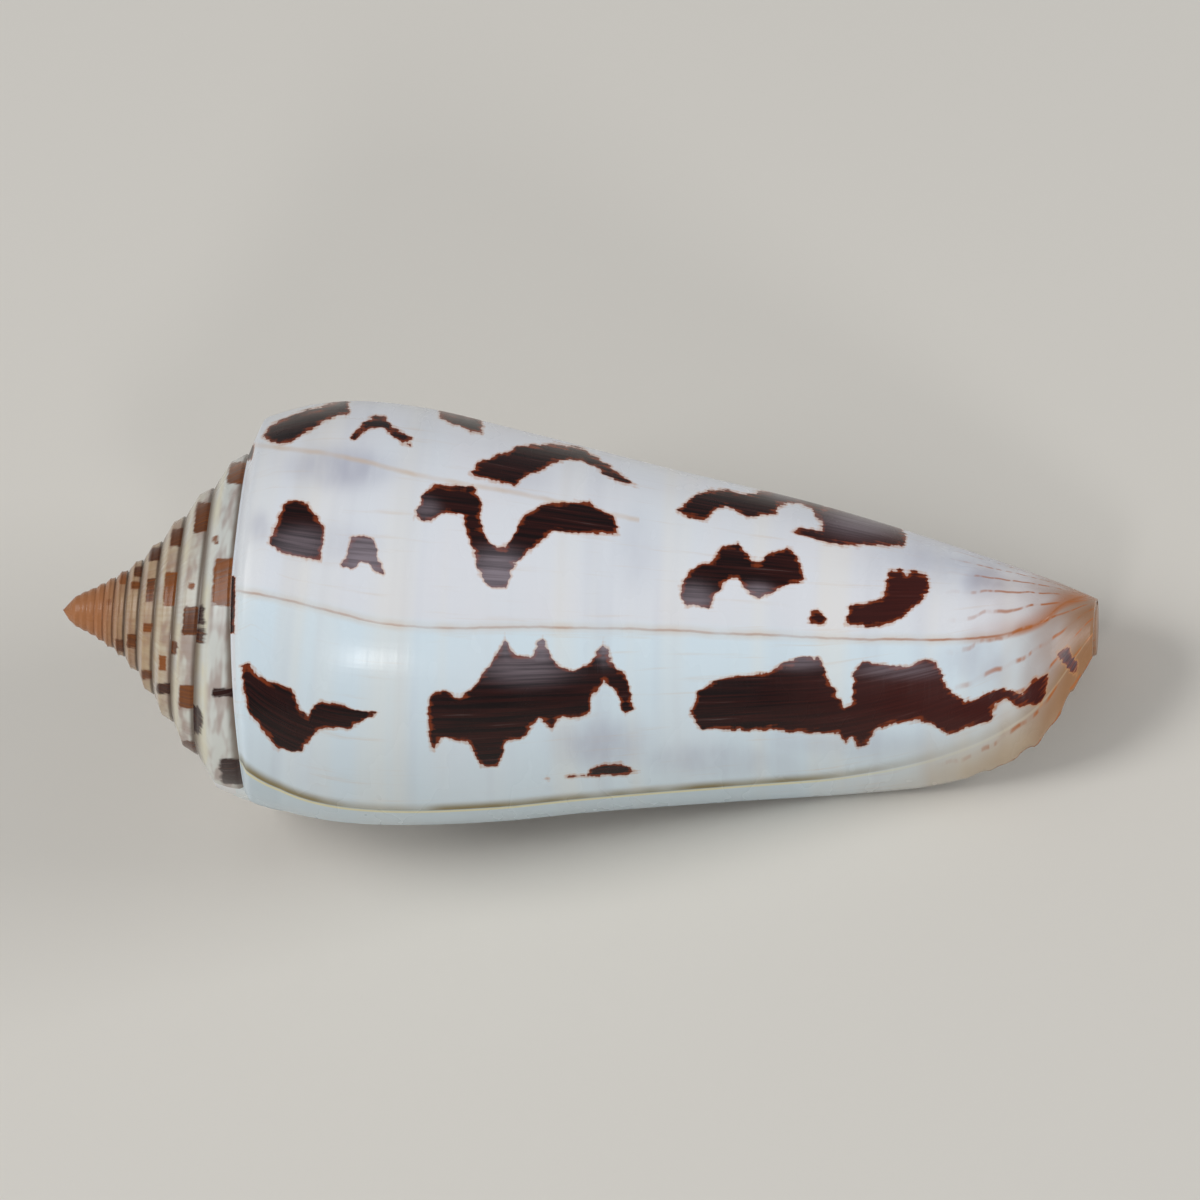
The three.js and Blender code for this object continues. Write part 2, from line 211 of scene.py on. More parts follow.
# The far side carries the same markings turned round, a little scaled, shifted and swayed, in mm.
farSide = {
    "scaleAlong": 0.985,
    "shiftAlong": 0.9,
    "sway": 0.5,
    "swayWaves": 0.6,
    "scaleAcross": 1.03,
    "shiftAcross": 0.6,
    "spireShift": 0.8,
    "depthLoss": 0.9,  # how fast a marking shrinks past the edge of its own side
    "gap": 2.2,  # left bare between the two sets
    "gapLoss": 0.8,
    "bareFrontEnd": (69, 71),
    "frontEndLoss": 5,
    "blend": (-3, 0),  # where clouds and worn places change over
}


def hermite(x0, y0, x1, y1, slope0, slope1, x):
    span = x1 - x0
    t = np.clip((x - x0) / span, 0, 1)
    rise = y0 * (2 * t**3 - 3 * t**2 + 1) + y1 * (3 * t**2 - 2 * t**3)
    return rise + span * (slope0 * (t**3 - 2 * t**2 + t) + slope1 * (t**3 - t**2))


# Smooth curve y(x) through points sorted by x.
def through(points):
    xs, ys = np.array(points, float).T
    rise = np.diff(ys) / np.diff(xs)
    slopes = np.concatenate((rise[:1], (rise[1:] + rise[:-1]) / 2, rise[-1:]))

    def curve(x):
        i = np.clip(np.searchsorted(xs, x, side="right") - 1, 0, len(xs) - 2)
        return hermite(xs[i], ys[i], xs[i + 1], ys[i + 1], slopes[i], slopes[i + 1], x)

    return curve


def smoothstep(x, low, high):
    t = np.clip((x - low) / (high - low), 0, 1)
    return t * t * (3 - 2 * t)


sutureRadius = through(growth["sutures"])
bellyRadius, backRadius, lipRadius = (through(growth[key]) for key in ("belly", "back", "lip"))


def sutureHeight(turn):
    first, second = growth["sutureClimb"]
    drop = smoothstep(turn, growth["turns"] - growth["lipDropTurns"], growth["turns"])
    return first * turn + second * turn**4 + growth["lipDrop"] * drop


# Radius of the last whorl at an age, or of the coil below it where the age is under 0.
def bodyRadius(height, age):
    belly, back, lip = bellyRadius(height), backRadius(height), lipRadius(height)
    before, after = (back - belly) * 2, (lip - back) * 2
    both = before * after
    middle = np.where(both > 0, 2 * both / np.where(both > 0, before + after, 1), 0)
    early = hermite(0, belly, 0.5, back, growth["innerGrowth"] * belly, middle, age)
    late = hermite(0.5, back, 1, lip, middle, after, age)
    hidden = belly * (1 + growth["innerGrowth"] * np.minimum(age, 0))
    return np.where(age <= 0, hidden, np.where(age < 0.5, early, late))


# Height and radius across one whorl of the spire: riser, shoulder, slope to the next suture.
def spireRows(turn):
    turns = growth["turns"]
    low = sutureHeight(turn)
    inner = sutureRadius(low)
    high = sutureHeight(turn + 1)
    outer = np.where(turn + 1 <= turns, sutureRadius(high), bodyRadius(high, turn - turns + 1))
    steep = smoothstep(turn, turns - growth["lastWhorlTurns"][0], turns - growth["lastWhorlTurns"][1])
    run = growth["riserRun"][0] + (growth["riserRun"][1] - growth["riserRun"][0]) * steep
    shoulderHeight = low + run * (high - low)
    shoulderRadius = inner + growth["riserHeight"] * (outer - inner)
    swellHeight = shoulderHeight + growth["swell"][0] * (high - shoulderHeight)
    swellRadius = shoulderRadius + growth["swell"][1] * (outer - shoulderRadius)
    heights, radii = [], []
    for t in np.linspace(0, 1, growth["riserRows"], endpoint=False):
        heights.append(low + t * (shoulderHeight - low))
        radii.append(inner + t * (shoulderRadius - inner))
    for t in np.linspace(0, 1, growth["slopeRows"] + 1):
        heights.append(shoulderHeight * (1 - t)**2 + 2 * swellHeight * t * (1 - t) + high * t * t)
        radii.append(shoulderRadius * (1 - t)**2 + 2 * swellRadius * t * (1 - t) + outer * t * t)
    heights, radii = np.stack(heights, -1), np.stack(radii, -1)
    for rows in (heights, radii):
        rows[..., 1:-1] = (rows[..., :-2] + 4 * rows[..., 1:-1] + rows[..., 2:]) / 6
    fromShoulder = np.arange(heights.shape[-1]) - growth["riserRows"]
    ornament = smoothstep(low, *growth["ornamentHeights"])
    cord = growth["cordHeight"] * np.exp(-fromShoulder**2 / growth["cordWidth"])
    cord = cord * ((1 - growth["lateCordLoss"] * steep) * ornament)[..., None]
    radii[..., 1:-1] += cord[..., 1:-1]
    radii[..., 0] -= growth["sutureDepth"] * ornament
    line = np.linspace(0, 1, heights.shape[-1])
    start = growth["nucleusTurn"]
    formed = smoothstep(turn, start, start + growth["nucleusBlend"])[..., None]
    for rows in (heights, radii):
        flat = rows[..., :1] + (rows[..., -1:] - rows[..., :1]) * line
        rows[...] = flat + formed * (rows - flat)
    return heights, radii


def bodyHeights(turn, share):
    top = sutureHeight(turn + 1)
    crowded = share - growth["rowCrowding"] * np.sin(2 * np.pi * share) / (2 * np.pi)
    return top[:, None] + (growth["length"] - top)[:, None] * crowded


def wallThickness(turnsBehindLip):
    share = np.minimum(1, turnsBehindLip / aperture["thickeningTurns"])
    return aperture["lipThickness"] + (aperture["wallThickness"] - aperture["lipThickness"]) * share


# Angle in degrees by which the growing edge is turned back at a height.
def retreat(height):
    turns = np.array(growth["turns"])
    start = growth["frontRetreatStart"]
    fromSuture = np.abs(height - sutureHeight(turns))
    edge = growth["sutureRetreat"] * np.exp(-fromSuture / growth["sutureRetreatFade"])
    share = np.maximum(0, (height - start) / (growth["length"] - start))
    for angle, power in growth["frontRetreat"]:
        edge = edge + angle * share**power
    return edge


# The same for the chips and the waver of the lip's edge.
def chipAngle(height):
    depth = sum(most * np.sin(height * waves + start) for most, waves, start in aperture["waver"])
    for centre, halfWidth, most in aperture["chips"]:
        depth = depth + most * np.exp(-((height - centre) / halfWidth)**4)
    return np.degrees(depth / lipRadius(height))


def place(turn, height, radius):
    column = (turn - growth["turns"]) * 2 * np.pi
    lipward = (1 + np.cos(column)) / 2
    atEdge = smoothstep(turn, growth["turns"] - aperture["edgeTurns"], growth["turns"])
    angle = column - np.radians(retreat(height)) * lipward - np.radians(chipAngle(height)) * atEdge
    y, z = -radius * np.cos(angle), -radius * np.sin(angle)
    shear = growth["coilShear"] * (1 - smoothstep(height, *growth["shearFade"]))
    return np.stack([height + shear * y, y, z], -1)


# Signed distance to closed outlines, above 0 inside, and the greatest of them all.
def insideOutlines(outlines, points):
    reach = 3  # mm past an outline within which the distance is worked out
    best = np.full(len(points), -farOff)
    for outline in outlines:
        corners = np.array(outline, float)
        near = np.all((points > corners.min(0) - reach) & (points < corners.max(0) + reach), axis=1)
        p = points[near]
        distance = np.full(len(p), farOff)
        crossings = np.zeros(len(p), int)
        for a, b in zip(corners, np.roll(corners, -1, axis=0)):
            edge = b - a
            t = np.clip(((p - a) @ edge) / (edge @ edge), 0, 1)
            distance = np.minimum(distance, np.linalg.norm(p - a - t[:, None] * edge, axis=1))
            spans = (a[1] > p[:, 1]) != (b[1] > p[:, 1])
            rise = b[1] - a[1] if b[1] != a[1] else 1e-9
            crossings += spans & (p[:, 0] < a[0] + (p[:, 1] - a[1]) / rise * edge[0])
        best[near] = np.maximum(best[near], np.where(crossings % 2 == 1, distance, -distance))
    return best


# The same for the spire's markings, and the tone of the nearest: 0 rust to 1 near black.
def spireMarks(corners, y, front):
    turnsBack, across = corners[:, 5] / 360, corners[:, 4]
    whorl = np.floor(turnsBack)
    y = np.where(front, y, -y - farSide["spireShift"])
    best, tone = np.full(len(y), -farOff), np.zeros(len(y))
    for back, high, low, first, last, shade in spireBlotches:
        within = np.minimum(across - first, last - across) * whorlWidth
        within = np.minimum(np.minimum(high - y, y - low), within)
        within = np.where(whorl == back, within, -farOff)
        tone = np.where(within > best, shade, tone)
        best = np.maximum(best, within)
    return best, tone


def spots(table, points):
    total = np.zeros(len(points))
    for along, across, reachAlong, reachAcross, strength in table:
        apart = ((points[:, 0] - along) / reachAlong)**2 + ((points[:, 1] - across) / reachAcross)**2
        total = np.maximum(total, strength * np.exp(-apart**1.5))
    return total


def scarOffset(path, points):
    return points[:, 1] - through(path)(points[:, 0])


class Skin:
    def __init__(self):
        self.points, self.count, self.faces, self.corners = [], 0, [], []

    def add(self, points):
        flat = points.reshape(-1, 3)
        index = np.arange(self.count, self.count + len(flat)).reshape(points.shape[:-1])
        self.points.append(flat)
        self.count += len(flat)
        return index

    # Quads over a grid of vertices; values are what each corner carries: atlas u, v, height, arc, ...
    def grid(self, index, values, flip=False):
        order = [(0, 0), (1, 0), (1, 1), (0, 1)]
        if flip:
            order.reverse()
        rows, columns = index.shape
        quads = np.stack([index[a:rows - 1 + a, b:columns - 1 + b] for a, b in order], -1).reshape(-1, 4)
        held = np.stack([values[a:rows - 1 + a, b:columns - 1 + b] for a, b in order], -2)
        self.faces.append(quads)
        self.corners.append(held.reshape(-1, 4, values.shape[-1]))

    def fan(self, rim, centre, rimValues, centreValues):
        a, b = rim[:-1], rim[1:]
        middle = np.full_like(a, centre)
        centreHeld = np.broadcast_to(centreValues, rimValues[1:].shape)
        held = np.stack([rimValues[:-1], rimValues[1:], centreHeld], -2)
        self.faces.append(np.stack([a, b, middle], -1))
        self.corners.append(held)

    # Triangles between two rows of vertices that needn't match.
    def zip(self, first, second, alongFirst, alongSecond, firstValues, secondValues):
        i = j = 0
        faces, held = [], []
        while i + 1 < len(first) or j + 1 < len(second):
            step = j + 1 >= len(second) or (i + 1 < len(first) and alongFirst[i + 1] <= alongSecond[j + 1])
            if step:
                face = (first[i], second[j], first[i + 1])
                value = (firstValues[i], secondValues[j], firstValues[i + 1])
                i += 1
            else:
                face = (first[i], second[j], second[j + 1])
                value = (firstValues[i], secondValues[j], secondValues[j + 1])
                j += 1
            if len(set(face)) == 3:
                faces.append(face)
                held.append(value)
        self.faces.append(np.array(faces))
        self.corners.append(np.array(held))


bodyRadiusTypical = 10  # mm

# What a corner carries: atlas u and v, height, arc behind the lip in mm, share across the whorl,
# angle behind the lip in degrees, and part: 0 spire, 1 last whorl, 2 inside.
def cornerValues(u, v, height, turn, across, part):
    arc = (growth["turns"] - turn) * 2 * np.pi * bodyRadiusTypical
    angle = (growth["turns"] - turn) * 360
    columns = np.broadcast_arrays(u, v, height, arc, across, angle, float(part))
    return np.stack(columns, -1)


# Where each part of the skin lies in the unwrapped sheet: left, bottom, width, height.
atlas = {
    "body": (0.0, 0.0, 0.70, 1.0),
    "spire": (0.715, 0.005, 0.28, 0.28),
    "floor": (0.715, 0.30, 0.135, 0.695),
    "ceiling": (0.86, 0.30, 0.135, 0.695),
}
unwrap = {"spireRadius": 16.5, "bodyTop": 13.0}  # mm
hollowUnwrapTurns = 0.6


def atlasPlace(name, u, v):
    left, bottom, width, height = atlas[name]
    return left + width * np.clip(u, 0, 1), bottom + height * np.clip(v, 0, 1)


def spireValues(turn, heights, radii, part):
    column = (turn - growth["turns"])[:, None] * 2 * np.pi
    width = 2 * unwrap["spireRadius"]
    u, v = atlasPlace("spire", 0.5 + radii * np.cos(column) / width, 0.5 + radii * np.sin(column) / width)
    across = np.linspace(0, 1, heights.shape[1])[None]
    return cornerValues(u, v, heights, turn[:, None], across, part)


def bodyValues(name, turn, heights, age, part):
    top = unwrap["bodyTop"]
    u, v = atlasPlace(name, (heights - top) / (growth["length"] - top), age)
    return cornerValues(u, v, heights, turn, 1.0, part)


def buildShell():
    skin = Skin()
    n = growth["columnsPerTurn"]
    turns = growth["turns"]
    last = round(turns * n)
    first = round(growth["nucleusTurn"] * n)
    lipColumn = last - n
    bodyRows = growth["bodyRows"]
    share = np.linspace(0, 1, bodyRows + 1)

    # Spire and the shoulder of the last whorl.
    turn = np.arange(first, last + 1) / n
    heights, radii = spireRows(turn)
    spire = np.empty(heights.shape, int)
    spire[:, :-1] = skin.add(place(turn[:, None], heights[:, :-1], radii[:, :-1]))

    # Outside of the last whorl.
    bodyTurn = np.arange(lipColumn, last + 1) / n
    age = bodyTurn - turns + 1
    high = bodyHeights(bodyTurn, share)
    radius = bodyRadius(high, age[:, None])
    bevel = np.clip(1 - (turns - bodyTurn) * 360 / aperture["bevelAngle"], 0, 1)[:, None]
    radius = radius - aperture["bevelDepth"] * bevel**2 * smoothstep(high, *aperture["bevelHeights"])
    body = np.empty(high.shape, int)
    body[1:] = skin.add(place(bodyTurn[1:, None], high[1:], radius[1:]))
    body[0, 1:] = skin.add(place(bodyTurn[:1, None], high[:1, 1:], radius[:1, 1:]))[0]
    body[0, 0] = spire[-1, 0]
    start = lipColumn - first
    spire[:start + 1, -1] = spire[n:, 0]
    spire[start + 1:, -1] = body[1:, 0]
    spireCorner = spireValues(turn, heights, radii, 0)
    skin.grid(spire[:start + 1], spireCorner[:start + 1])
    skin.grid(spire[start:], spireValues(turn[start:], heights[start:], radii[start:], 1))
    bodyCorner = bodyValues("body", bodyTurn[:, None], high, age[:, None], 1)
    skin.grid(body, bodyCorner)

    # The hollow: the older whorl below, the inside of the last whorl above.
    back = aperture["hollowColumns"]
    hollowTurn = turns - 1 - aperture["hollowTurns"] * (1 - np.arange(back + 1) / back)
    roofRow = round(aperture["roofShare"] * bodyRows)
    low = bodyHeights(hollowTurn, share)[:, roofRow:]
    floorAge = (hollowTurn - turns + 1)[:, None]
    floorRadius = bodyRadius(low, floorAge)
    floor = np.empty(low.shape, int)
    floor[:-1] = skin.add(place(hollowTurn[:-1, None], low[:-1], floorRadius[:-1]))
    floor[-1] = body[0, roofRow:]
    wall = wallThickness(turns - hollowTurn - 1)[:, None]
    room = bodyRadius(low, floorAge + 1) - wall - floorRadius
    opening = smoothstep(low, low[:, :1], low[:, :1] + aperture["roofEase"])
    ceilingRadius = floorRadius + np.maximum(aperture["leastHollow"], room) * opening
    ceiling = np.empty(low.shape, int)
    ceiling[:, 0] = floor[:, 0]
    ceiling[:, 1:] = skin.add(place(hollowTurn[:, None] + 1, low[:, 1:], ceilingRadius[:, 1:]))
    depthInside = 1 + floorAge / hollowUnwrapTurns
    floorCorner = bodyValues("floor", hollowTurn[:, None] + 1, low, depthInside, 2)
    ceilingCorner = bodyValues("ceiling", hollowTurn[:, None] + 1, low, depthInside, 2)
    skin.grid(floor, floorCorner)
    skin.grid(ceiling, ceilingCorner, flip=True)
    skin.grid(np.stack([ceiling[0], floor[0]]), np.stack([ceilingCorner[0], ceilingCorner[0]]))

    # Edge of the lip.
    outer = np.concatenate([spire[-1], body[-1, 1:]])
    outerValues = np.concatenate([spireCorner[-1], bodyCorner[-1, 1:]])
    outerValues[:, 6] = 2
    inner = np.concatenate([body[0, :roofRow], ceiling[-1]])
    innerValues = np.concatenate([bodyCorner[0, :roofRow], ceilingCorner[-1]])
    innerValues[:, 6] = 2
    roofPlace = np.tile(ceilingCorner[-1, 0, :2], (roofRow, 1))
    innerValues[:, :2] = np.concatenate([roofPlace, ceilingCorner[-1, :, :2]])
    for k in (0, 1):
        outerValues[:, k] = np.interp(outerValues[:, 2], innerValues[:, 2], innerValues[:, k])
    skin.zip(outer, inner, outerValues[:, 2], innerValues[:, 2], outerValues, innerValues)

    # Front end: the rim of the wall, then the pillar the whorls turn round.
    rimStart = n - round(aperture["hollowTurns"] * n)
    rim = body[rimStart:, -1]
    rimAge = age[rimStart:]
    innerRim = ceiling[:, -1]
    innerAge = hollowTurn - turns + 2
    rimValues = ceilingCorner[:, -1].copy()
    outerRimValues = np.stack([np.interp(rimAge, innerAge, rimValues[:, k]) for k in range(7)], -1)
    skin.zip(innerRim, rim, innerAge, rimAge, rimValues, outerRimValues)
    pillar = np.concatenate([floor[:, -1], body[1:rimStart + 1, -1], ceiling[:1, -1], floor[:1, -1]])
    tip = skin.add(np.array([[growth["length"], 0.0, 0.0]]))[0]
    pillarValues = np.tile(ceilingCorner[0, -1], (len(pillar), 1))
    skin.fan(pillar, tip, pillarValues, pillarValues[0])

    # Apex.
    nucleus = skin.add(np.array([[0.0, 0.0, 0.0]]))[0]
    startRim = np.concatenate([spire[0, ::-1], spire[1:n + 1, 0]])
    startValues = np.concatenate([spireCorner[0, ::-1], spireCorner[1:n + 1, 0]])
    centreValues = spireCorner[0, 0].copy()
    centreValues[0], centreValues[1] = atlasPlace("spire", np.array(0.5), np.array(0.5))
    centreValues[2] = 0
    skin.fan(startRim[::-1], nucleus, startValues[::-1], centreValues)
    return skin


# Markings of the last whorl at each vertex of the unturned shell.
def markings(points):
    dip = math.radians(sideView["dip"])
    x, y, z = points.T
    seen = np.stack([x * math.cos(dip) - z * math.sin(dip), y], -1)
    beyond = np.maximum(0, -z)
    facing = np.maximum(0, z)
    along = seen[:, 0] * farSide["scaleAlong"] + farSide["shiftAlong"]
    along = along + farSide["sway"] * np.sin(y * farSide["swayWaves"])
    turned = np.stack([along, -seen[:, 1] * farSide["scaleAcross"] - farSide["shiftAcross"]], -1)
    front = insideOutlines(blotches.values(), seen) - farSide["depthLoss"] * beyond
    rear = insideOutlines(blotches.values(), turned) - farSide["depthLoss"] * facing
    rear -= farSide["gapLoss"] * np.maximum(0, farSide["gap"] - beyond)
    rear -= farSide["frontEndLoss"] * smoothstep(seen[:, 0], *farSide["bareFrontEnd"])
    ink = np.maximum(front, rear)
    onFront = smoothstep(z, *farSide["blend"])
    fade = spots(fadedSpots, seen) * onFront + spots(fadedSpots, turned) * (1 - onFront)
    cloud = spots(clouds, seen) * onFront + spots(clouds, turned) * (1 - onFront)
    spireEnd, upperScarEnd = 12.6, 42
    away = farOff * (z <= 0) + farOff * (seen[:, 0] < spireEnd)
    main = scarOffset(mainScar, seen) + away
    upper = scarOffset(upperScar, seen) + away + farOff * (seen[:, 0] > upperScarEnd)
    return {"ink": ink, "washed": fade, "cloud": cloud, "mainScar": main, "upperScar": upper}


# Turns the shell as it lies and stands it on the CAD box's own footprint.
restTurn = (Matrix.Rotation(math.radians(rest["pitch"]), 3, "Y")
            @ Matrix.Rotation(math.radians(rest["roll"]), 3, "X"))


def layDown(points):
    turned = points @ np.array(restTurn).T
    low, high = turned.min(0), turned.max(0)
    footprint = np.array([(cadLow.x + cadHigh.x) / 2, (cadLow.y + cadHigh.y) / 2, cadLow.z]) / mm
    shift = footprint - np.array([(low[0] + high[0]) / 2, (low[1] + high[1]) / 2, low[2]])
    return turned + shift, shift


def makeMesh(skin):
    points = np.concatenate(skin.points)
    marks = markings(points)
    laid, shift = layDown(points)
    faces, corners = [], []
    for block, held in zip(skin.faces, skin.corners):
        faces.extend(block.tolist())
        corners.append(held.reshape(-1, held.shape[-1]))
    corners = np.concatenate(corners)
    mesh = bpy.data.meshes.new("shell_skin")
    mesh.from_pydata((laid * mm).tolist(), [], faces)
    vertexOf = np.concatenate([np.array(block).reshape(-1) for block in skin.faces])
    for name, column in (("height", 2), ("arc", 3), ("across", 4), ("lipAngle", 5), ("part", 6)):
        layer = mesh.attributes.new(name, "FLOAT", "CORNER")
        layer.data.foreach_set("value", corners[:, column].astype(np.float32))
    cornerMarks = {name: values[vertexOf] for name, values in marks.items()}
    at = points[vertexOf]
    cornerMarks["spireInk"], cornerMarks["spireTone"] = spireMarks(corners, at[:, 1], at[:, 2] > 0)
    onRiser = (corners[:, 6] == 1) & (corners[:, 4] < 1)
    riserInk = np.where(onRiser, cornerMarks["spireInk"] * riserContrast, -farOff)
    cornerMarks["ink"] = np.maximum(cornerMarks["ink"], riserInk)
    for name, values in cornerMarks.items():
        layer = mesh.attributes.new(name, "FLOAT", "CORNER")
        layer.data.foreach_set("value", values.astype(np.float32))
    unwrapped = mesh.uv_layers.new(name="OFBake")
    unwrapped.data.foreach_set("uv", corners[:, :2].astype(np.float32).reshape(-1))
    mesh.validate()
    mesh.shade_smooth()
    return mesh, shift


skin = buildShell()
mesh, restShift = makeMesh(skin)
print("shell skin:", len(mesh.vertices), "vertices", len(mesh.polygons), "faces")

shell = bpy.data.objects.new("cone_shell", mesh)
bpy.context.scene.collection.objects.link(shell)


# sRGB hex to linear.
def linear(hexColour):
    channels = [int(hexColour[i:i + 2], 16) / 255 for i in (1, 3, 5)]
    return tuple(c / 12.92 if c <= 0.04045 else ((c + 0.055) / 1.055)**2.4 for c in channels) + (1.0,)


# Adds a node, applies its settings, fills its open inputs in order or by name, and gives an output.
def addNode(tree, kind, settings, *inputs, output=None):
    made = tree.nodes.new(kind)
    for key, value in settings.items():
        setattr(made, key, value)
    sockets = [socket for socket in made.inputs if socket.enabled]
    if inputs and isinstance(inputs[0], dict):
        sockets, inputs = [made.inputs[name] for name in inputs[0]], inputs[0].values()
    for socket, value in zip(sockets, inputs):
        if isinstance(value, bpy.types.NodeSocket):
            tree.links.new(value, socket)
        else:
            socket.default_value = linear(value) if isinstance(value, str) else value
    return next((s for s in made.outputs if s.enabled and output in (None, s.name)), None)


# Node kinds with their settings, for addNode.
times = "ShaderNodeMath", {"operation": "MULTIPLY"}
plus = "ShaderNodeMath", {"operation": "ADD"}
minus = "ShaderNodeMath", {"operation": "SUBTRACT"}
absolute = "ShaderNodeMath", {"operation": "ABSOLUTE"}
greatest = "ShaderNodeMath", {"operation": "MAXIMUM"}
isAbove = "ShaderNodeMath", {"operation": "GREATER_THAN"}
folded = "ShaderNodeMath", {"operation": "PINGPONG"}
ramp = "ShaderNodeMapRange", {"interpolation_type": "SMOOTHSTEP"}
mix = "ShaderNodeMix", {"data_type": "RGBA"}

aragonite = {
    "coolWhite": "#DCEBF4",
    "warmWhite": "#E7E6EB",
    "cream": "#F0EBDF",
    "lilac": "#B3B5C4",
    "growthTan": "#D6BEA6",
    "scar": "#AE6430",
    "chocolate": "#34120F",
    "nearBlack": "#140708",
    "chestnut": "#54201A",
    "rust": "#7C3416",
    "halo": "#C58A58",
    "worn": "#6E6664",
    "wornMauve": "#8A8088",
    "spireWhite": "#D6D8D2",
    "spireCream": "#CDBFA2",
    "spireMauve": "#A8938B",
    "riserYellow": "#DCD7BF",
    # painted shade: greyish brown standing for the shade that falls into the sutures between whorls
    "paintedSutureShade": "#6B594A",
    "spireRust": "#8F5328",
    "spireDark": "#2C1210",
    "apexTan": "#A67C57",
    "apex": "#AC7148",
    "tipStain": "#94663F",
    "rimTan": "#C0A377",
    "lipOlive": "#84702F",
    # painted highlight: pale yellow for the light caught beside the olive growth line
    "lipPaintedHighlight": "#E9E3BC",
    "lipWhite": "#C9D8E0",
    "inside": "#EDEBEA",
    "ior": 1.55,  # aragonite has 1.53 to 1.69, by direction
    "roughness": (0.2, 0.32),  # least and most handled
    "specular": 0.22,  # less than flat glass: fine growth lines scatter part of the gloss
    "oldEdgeAngle": 17.0,  # degrees of coil between the old lip edges at the tip
    # Where the looks change: mm from the apex, degrees behind the lip or shares of a whorl.
    "places": {
        "scarDarkens": (50, 70), "rimAngles": (5, 42), "rimHeights": (52, 70), "tipStained": (65, 76),
        "oldEdges": (64, 70), "besideScar": (65, 70), "lipBand": (20, 22), "lipBandFades": (50, 60),
        "lipLineStarts": (13.5, 15.5), "lipLineFades": (50, 66), "oliveNear": (20.3, 21.3),
        # Painted highlight: two places on the next line, in degrees behind the lip, bound a pale band of
        # painted highlight.
        "oliveFar": (21.5, 27), "paintedHighlightNear": (18.6, 19.6), "paintedHighlightFar": (20.1, 20.9), "reddens": (48, 68),
        "whitens": (6.5, 11.5), "browns": (3.5, 11.5), "apex": (2.6, 5.0), "riserEnds": (0.2, 0.36),
        # Painted shade: the first two places on the next line are the shares of a whorl darkened as if
        # shaded by its sutures.
        "paintedShadeFoot": (0.02, 0.2), "paintedShadeTop": (0.76, 0.98), "hollowStained": (66, 75),
        "lipStepFades": (46, 58),
    },
    "scarLine": (0.02, 0.14),  # mm beside a scar
    "scarShade": (0.0, 0.6),
    "upperScarShade": (0.02, 0.3),
    # How far a pattern moves an edge: mm, or degrees for the old lip edges.
    "wander": {"scar": 0.35, "stain": 7.0, "oldEdge": 22.0, "fingers": 0.6, "steps": 0.55, "browning": 5.0},
    # Patterns over the growth grid: mm along the axis, mm round the coil, octaves. Growth lines are
    # about 0.1 mm apart and spiral threads 0.2 mm on such a shell: both are drawn coarser, to show.
    "patterns": {
        "broadTone": (9, 14, 2), "growthBands": (2.6, 60, 2), "creamBands": (4.5, 90, 2),
        "cloudTexture": (1.6, 4, 2), "growthStreaks": (9, 0.5, 3), "scarWander": (3.0, 40, 3),
        "scarStrength": (3.5, 200, 2), "stain": (4, 9, 2), "edgeWander": (4, 22, 2), "dashes": (0.7, 12, 1),
        "brokenLine": (7, 60, 2), "fingers": (3.0, 0.45, 2), "steps": (0.7, 2.6, 2), "fibres": (9, 0.22, 3),
        "mauvePatches": (1.2, 3.5, 2), "riserPatches": (1.0, 5, 2), "growthLines": (14, 0.5, 2),
        "threads": (0.45, 60, 1), "handling": (5, 9, 3),
    },
    "relief": {"growthLines": 0.014, "threads": 0.01, "scarStep": 0.05, "lipStep": 0.08},  # mm
}


